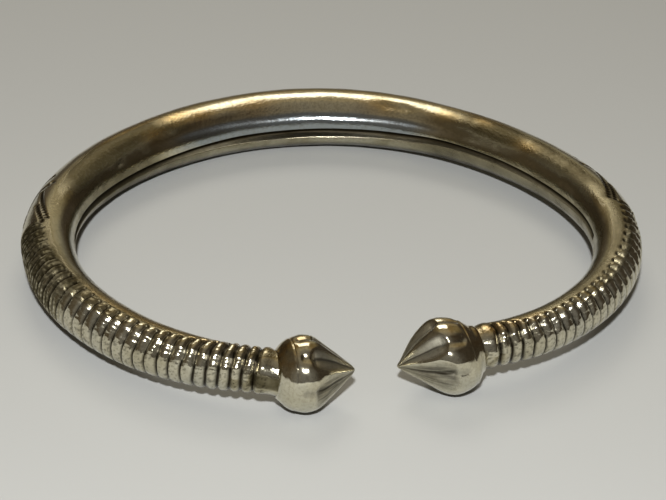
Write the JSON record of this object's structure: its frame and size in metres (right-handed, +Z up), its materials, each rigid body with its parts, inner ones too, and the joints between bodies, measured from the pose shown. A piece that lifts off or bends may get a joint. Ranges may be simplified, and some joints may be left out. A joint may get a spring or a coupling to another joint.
{
  "type": "open silver bangle",
  "caption": "Open round bangle of tarnished silver tube, plain at the back, ribbed towards the ends, with a zigzag band on each side and a fluted pointed bud on each end.",
  "frame": {"origin": "on the surface that the bangle lies on, under the middle of its footprint", "axes": "+Z up through the wrist opening, +Y towards the plain back, -Y towards the gap between the buds, +X to the right of the picture"},
  "size_m": [0.0748, 0.0744, 0.0088],
  "materials": {
    "silver": "old hand-polished silver, yellowed and dark in the grooves"
  },
  "bodies": {
    "root": {"bangle": "silver"}
  },
  "joints": []
}
